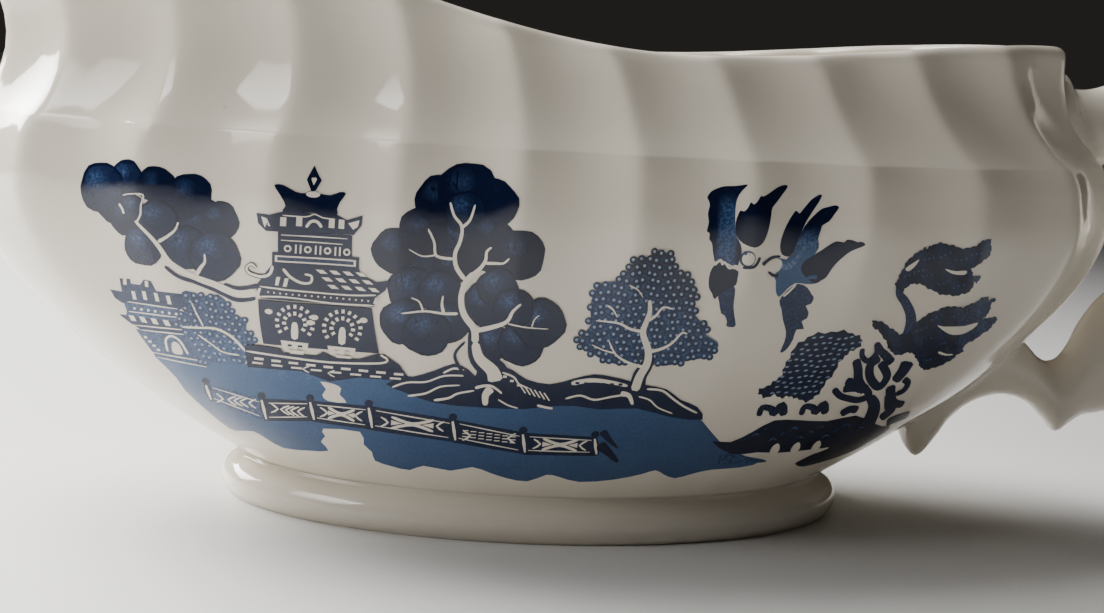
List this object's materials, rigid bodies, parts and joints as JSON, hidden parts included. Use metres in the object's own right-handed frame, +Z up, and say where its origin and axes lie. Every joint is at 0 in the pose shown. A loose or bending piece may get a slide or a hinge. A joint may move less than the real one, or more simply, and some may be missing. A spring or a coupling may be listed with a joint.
{
  "type": "gravy boat",
  "caption": "Glazed earthenware gravy boat: fluted oval bowl with a raised pouring spout, an oval foot ring, a cusped loop handle and a blue printed garden scene.",
  "frame": {"origin": "on the surface the boat stands on, under the middle of its overall length and width", "axes": "+X from the pouring spout to the handle, +Z up, the boat's plane of symmetry in XZ"},
  "size_m": [0.213, 0.0846, 0.0951],
  "materials": {
    "glazed_body": "glossy clear glaze over an ivory earthenware body"
  },
  "bodies": {
    "root": {"bowl": "glazed_body", "foot_ring": "glazed_body", "handle": "glazed_body"}
  },
  "joints": []
}
